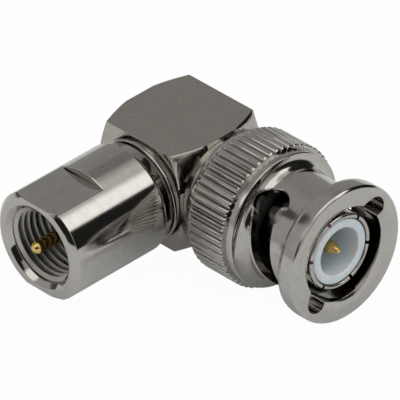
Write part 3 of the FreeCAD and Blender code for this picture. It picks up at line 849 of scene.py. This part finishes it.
class ADAPTER_OT_pins(bpy.types.Operator):
    """Turn the two gilt centre pins"""
    bl_idname = "adapter.pins"
    bl_label = "Centre pins"

    def execute(self, context):
        size = context.scene.adapter_contact
        finishes = context.scene.adapter_finishes
        self.bayonet_pin(size, finishes)
        self.threaded_pin(size, finishes)
        return {"FINISHED"}

    def bayonet_pin(self, size, finishes):
        """Turn the pin with a cone tip, and slot its rear for the other pin's tail."""
        pin, tip = size.pin / 2, size.front - 0.2 * MM
        rear, recess_floor, cone, point = -1.2 * MM, 16.53 * MM, 0.98 * MM, 0.05 * MM
        centre = turned("bayonet_pin", BAYONET, [
            (rear, CONDUCTOR, 0.05 * MM), (recess_floor, CONDUCTOR), (recess_floor, pin),
            (tip - cone, pin, 0.06 * MM), (tip - point, 0.2 * MM), (tip, 0.11 * MM), (tip, 0)], steps=96)
        slot_end, half_slot, reach = 0.55 * MM, 0.52 * MM, 2 * MM
        cut(centre, slab((-2.5 * MM, -reach, -half_slot), (slot_end, reach, half_slot)))
        gold = material_of("gilt, bayonet plug", gilt, finishes.gold, BAYONET)
        finished(centre, "adapter", "gilt", gold, "plug_pin")

    def threaded_pin(self, size, finishes):
        """Turn the pin with a domed tip, and the tail that is soldered into the other pin."""
        pin, tail = size.threaded_pin / 2, 0.5 * MM
        rear, tail_end, thread_floor, tip = -0.9 * MM, 3.1 * MM, 12.2 * MM, 20 * MM
        dome_height, dome_flat = 0.4 * MM, 0.3 * MM
        centre = turned("threaded_pin", THREADED, [
            (rear, tail), (tail_end, tail), (tail_end, CONDUCTOR), (thread_floor, CONDUCTOR),
            (thread_floor, pin), (tip - dome_height, pin, 0.15 * MM), (tip, dome_flat, 0.12 * MM), (tip, 0)],
            steps=96)
        gold = material_of("gilt, threaded plug", gilt, finishes.gold, THREADED)
        finished(centre, "adapter", "gilt", gold, "fme_pin")


class ADAPTER_OT_inner(bpy.types.Operator):
    """Give the washers, ring, cap and inner insulator their finishes, and steel copies of the bent washers
    """
    bl_idname = "adapter.inner"
    bl_label = "Inner pieces"

    def execute(self, context):
        finishes = context.scene.adapter_finishes
        steel = material_of("spring steel", plated, finishes.steel, roughness=0.28, way=BAYONET)
        for node, material in (("thrust_washer", steel), ("retaining_ring", steel),
                               ("end_cap", satin_nickel(finishes)),
                               ("fme_insulator", white_insulator(finishes))):
            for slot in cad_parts[node].material_slots:
                slot.material = material
        for number in (1, 2):
            self.spring(number, steel)
        return {"FINISHED"}

    def spring(self, number, steel):
        """A copy of a bent washer, with the steel finish, in place of the imported one."""
        node = "spring_washer_%d" % number
        piece = bpy.data.objects.new("bent_washer_%d" % number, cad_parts[node].data.copy())
        bpy.context.collection.objects.link(piece)
        finished(piece, "adapter", "spring_steel", steel, node)
        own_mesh(piece)


# Studio

# Cards of the tent: azimuth, elevation, radius of the even middle and of the faded edge in degrees, and
# level. A later card lies over the earlier ones.
CARDS = (
    (-140, 12, 26, 40, 0.50), (145, 22, 25, 40, 0.37), (-150, 44, 5, 11, 0.10), (178, 52, 10, 20, 0.42),
    (-60, 10, 20, 45, 0.50), (-12, 36, 20, 32, 0.62), (-172, 4, 12, 22, 0.10), (118, 50, 10, 18, 0.28),
    (20, 74, 26, 34, 1.5), (84, 66, 10, 20, 0.60), (68, 57, 6, 18, 0.80), (47, 41, 4, 18, 1.75),
    (100, 8, 14, 18, 0.02), (82, 26, 24, 26, 0.02), (48, 8, 24, 26, 0.02), (-82, 20, 11, 14, 0.02),
    (-106, 42, 12, 17, 1.4), (-58, 14, 17, 20, 0.02), (-6, 5, 10, 18, 0.14))
TENT_HORIZON, TENT_ZENITH = 0.46, 0.40
TENT_TINT = (1.0, 0.985, 0.955)

# Lamps: name, azimuth, elevation, distance and width in metres, and power in watts
LAMPS = (("key", 30, 62, 0.35, 0.25, 0.42), ("fill", -130, 35, 0.4, 0.3, 0.12))

# The backdrop is white where it is seen or mirrored, and lights the part with this much
AMBIENT = 0.62
FLOOR_SEEN_GLOW, FLOOR_MIRRORED_GLOW = 0.97, 0.12

# Camera fitted to the photograph, its focal length in pixels of a picture 400 wide
CAMERA_PLACE = (0.487577, -0.440570, 0.450246)
CAMERA_AIM = (0.005174, -0.002780, -0.000414)
CAMERA_ROLL = radians(-2.584)
SENSOR_WIDTH = 36
FOCAL_PIXELS, PICTURE_PIXELS = 8171.7, 400


def towards(azimuth, elevation):
    azimuth, elevation = radians(azimuth), radians(elevation)
    return Vector((cos(elevation) * cos(azimuth), cos(elevation) * sin(azimuth), sin(elevation)))


class ADAPTER_OT_studio(bpy.types.Operator):
    """Set the pale floor, the tent of grey cards, the lamps and the camera"""
    bl_idname = "adapter.studio"
    bl_label = "Studio"

    def execute(self, context):
        self.world(context.scene)
        self.floor(context.scene.adapter_finishes)
        self.tent()
        self.lamps()
        self.camera(context.scene)
        context.scene.view_settings.view_transform = "Standard"
        return {"FINISHED"}

    def world(self, scene):
        world = scene.world or bpy.data.worlds.new("Studio")
        scene.world = world
        world.use_nodes = True
        nodes = Nodes(world.node_tree)
        background = nodes.tree.nodes["Background"]
        background.inputs["Color"].default_value = (1, 1, 1, 1)
        rays = nodes.add("LightPath")
        seen = nodes.maths("MAXIMUM", rays.outputs["Is Camera Ray"], rays.outputs["Is Glossy Ray"])
        through = nodes.maths("MAXIMUM", seen, rays.outputs["Is Transmission Ray"])
        strength = nodes.add("MapRange", To_Min=AMBIENT, To_Max=1.0)
        nodes.link(through, strength.inputs["Value"])
        nodes.link(strength.outputs["Result"], background.inputs["Strength"])

    def floor(self, finishes):
        drop_all()
        below = CAD_BOX[0][2] - 0.02 * MM
        bpy.ops.mesh.primitive_circle_add(vertices=96, radius=1.5, fill_type="NGON", location=(0, 0, below))
        floor = place_in_mesh("floor")
        finish = Finish("pale floor", finishes.floor, 0.9, Specular_IOR_Level=0.0)
        finish.tint(finish.noise(0.03, detail=4), 0.985, 1.015)
        rays = finish.add("LightPath")
        mirrored = finish.maths("MULTIPLY", rays.outputs["Is Glossy Ray"], FLOOR_MIRRORED_GLOW)
        share = finish.maths("MULTIPLY_ADD", rays.outputs["Is Camera Ray"], FLOOR_SEEN_GLOW, mirrored)
        mix = finish.add("MixShader")
        finish.link(share, mix.inputs[0])
        finish.link(finish.shader.outputs[0], mix.inputs[1])
        finish.link(finish.add("Emission").outputs[0], mix.inputs[2])
        finish.surface(mix.outputs[0])
        floor.data.materials.append(finish.material)

    def tent(self):
        """Grey tent that only reflections see: paler and darker cards by their direction."""
        drop_all()
        bpy.ops.mesh.primitive_uv_sphere_add(segments=64, ring_count=32, radius=2)
        tent = place_in_mesh("tent")
        for rays in ("camera", "diffuse", "shadow", "volume_scatter", "transmission"):
            setattr(tent, "visible_" + rays, False)
        finish = Finish("tent cards", (0, 0, 0), 1.0)
        unit = finish.add("VectorMath", operation="NORMALIZE")
        finish.link(finish.place, unit.inputs[0])
        height = finish.add("SeparateXYZ")
        finish.link(unit.outputs[0], height.inputs[0])
        level = finish.add("MapRange", To_Min=TENT_HORIZON, To_Max=TENT_ZENITH)
        finish.link(height.outputs["Z"], level.inputs["Value"])
        shade = level.outputs["Result"]
        for azimuth, elevation, *card in CARDS:
            shade = self.card(finish, unit.outputs[0], shade, towards(azimuth, elevation), *card)
        tint = finish.add("Mix", data_type="RGBA", blend_type="MULTIPLY")
        tint.inputs[0].default_value = 1.0
        tint.inputs[COLOUR_B].default_value = (*TENT_TINT, 1)
        finish.link(shade, tint.inputs[COLOUR_A])
        glow = finish.add("Emission")
        finish.link(tint.outputs[MIXED_COLOUR], glow.inputs["Color"])
        finish.surface(glow.outputs[0])
        tent.data.materials.append(finish.material)

    def card(self, finish, unit, shade, way, inner, outer, level):
        """Lay one round card with a soft edge over the tent's shade."""
        dot = finish.add("VectorMath", operation="DOT_PRODUCT")
        dot.inputs[1].default_value = way
        finish.link(unit, dot.inputs[0])
        edge = finish.add("MapRange", interpolation_type="SMOOTHSTEP", From_Min=cos(radians(outer)),
                          From_Max=cos(radians(inner)))
        finish.link(dot.outputs["Value"], edge.inputs["Value"])
        mix = finish.add("Mix", data_type="FLOAT")
        mix.inputs[NUMBER_B].default_value = level
        finish.link(edge.outputs["Result"], mix.inputs[0])
        finish.link(shade, mix.inputs[NUMBER_A])
        return mix.outputs[0]

    def lamps(self):
        for name, azimuth, elevation, distance, across, power in LAMPS:
            drop_all()
            way = towards(azimuth, elevation)
            bpy.ops.object.light_add(type="AREA", location=way * distance,
                                     rotation=way.to_track_quat("Z", "Y").to_euler())
            lamp = bpy.context.object
            lamp.name = name
            lamp.data.size = across
            lamp.data.energy = power
            lamp.visible_glossy = lamp.visible_camera = False

    def camera(self, scene):
        place, aim = Vector(CAMERA_PLACE), Vector(CAMERA_AIM)
        drop_all()
        bpy.ops.object.camera_add(location=place)
        camera = bpy.context.object
        upright = (aim - place).to_track_quat("-Z", "Y").to_matrix()
        right = upright.col[0] * cos(CAMERA_ROLL) + upright.col[1] * sin(CAMERA_ROLL)
        back = upright.col[2]
        up = back.cross(right)
        camera.rotation_euler = Matrix((right, up, back)).transposed().to_euler()
        camera.data.sensor_fit = "HORIZONTAL"
        camera.data.sensor_width = SENSOR_WIDTH
        camera.data.lens = SENSOR_WIDTH * FOCAL_PIXELS / PICTURE_PIXELS
        camera.data.clip_start = 0.05
        camera.data.clip_end = 10
        scene.camera = camera


class ADAPTER_PT_panel(bpy.types.Panel):
    bl_label = "Adapter"
    bl_idname = "ADAPTER_PT_panel"
    bl_space_type = "VIEW_3D"
    bl_region_type = "UI"
    bl_category = "Adapter"

    def draw(self, context):
        for operator in OPERATORS:
            self.layout.operator(operator.bl_idname)
        for holder in GROUPS:
            sizes = getattr(context.scene, holder)
            column = self.layout.column()
            for name in sizes.bl_rna.properties.keys():
                if name not in ("rna_type", "name"):
                    column.prop(sizes, name)


OPERATORS = (ADAPTER_OT_block, ADAPTER_OT_barrel, ADAPTER_OT_nut, ADAPTER_OT_contact, ADAPTER_OT_pins,
             ADAPTER_OT_inner, ADAPTER_OT_studio)


def register():
    for group in GROUPS.values():
        bpy.utils.register_class(group)
    for operator in OPERATORS:
        bpy.utils.register_class(operator)
    bpy.utils.register_class(ADAPTER_PT_panel)
    for holder, group in GROUPS.items():
        setattr(bpy.types.Scene, holder, bpy.props.PointerProperty(type=group))


def unregister():
    for holder in GROUPS:
        delattr(bpy.types.Scene, holder)
    bpy.utils.unregister_class(ADAPTER_PT_panel)
    for operator in reversed(OPERATORS):
        bpy.utils.unregister_class(operator)
    for group in reversed(GROUPS.values()):
        bpy.utils.unregister_class(group)


def main():
    register()
    bpy.ops.adapter.block()
    bpy.ops.adapter.barrel()
    bpy.ops.adapter.nut()
    bpy.ops.adapter.contact()
    bpy.ops.adapter.pins()
    bpy.ops.adapter.inner()
    bpy.ops.adapter.studio()


if __name__ == "__main__":
    main()
